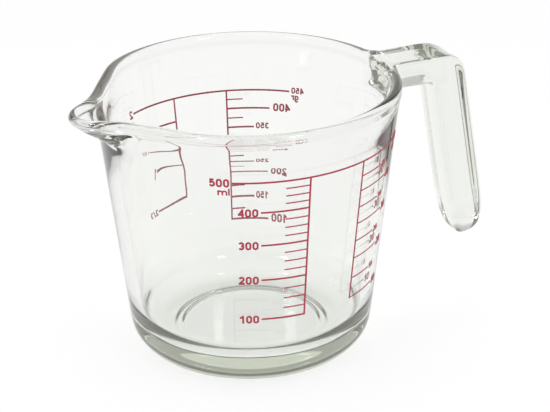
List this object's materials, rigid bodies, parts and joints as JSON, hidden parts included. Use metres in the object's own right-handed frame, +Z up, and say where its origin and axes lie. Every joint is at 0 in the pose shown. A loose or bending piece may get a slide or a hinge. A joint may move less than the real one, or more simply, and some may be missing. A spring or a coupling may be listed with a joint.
{
  "type": "measuring jug",
  "caption": "Tapered clear glass measuring jug with a pinched pouring spout, an open-ended handle and red enamel scales for volume and weight.",
  "frame": {"origin": "centre of the standing ring under the base, on the table", "axes": "+Z up along the jug's axis, +X from the axis out along the handle, -X out along the spout; the millilitre scale faces -Y and the gram scale faces +Y"},
  "size_m": [0.1678, 0.1144, 0.1043],
  "materials": {
    "clear_glass": "fire-polished clear glass with a faint green tint",
    "red_enamel": "fired dark red enamel, glossy"
  },
  "bodies": {
    "root": {"body": "clear_glass", "handle": "clear_glass", "ml_lines": "red_enamel", "ml_numerals": "red_enamel", "cl_lines": "red_enamel", "cl_numerals": "red_enamel", "gram_lines": "red_enamel", "gram_numerals": "red_enamel", "cup_lines": "red_enamel", "cup_numerals": "red_enamel"}
  },
  "joints": []
}
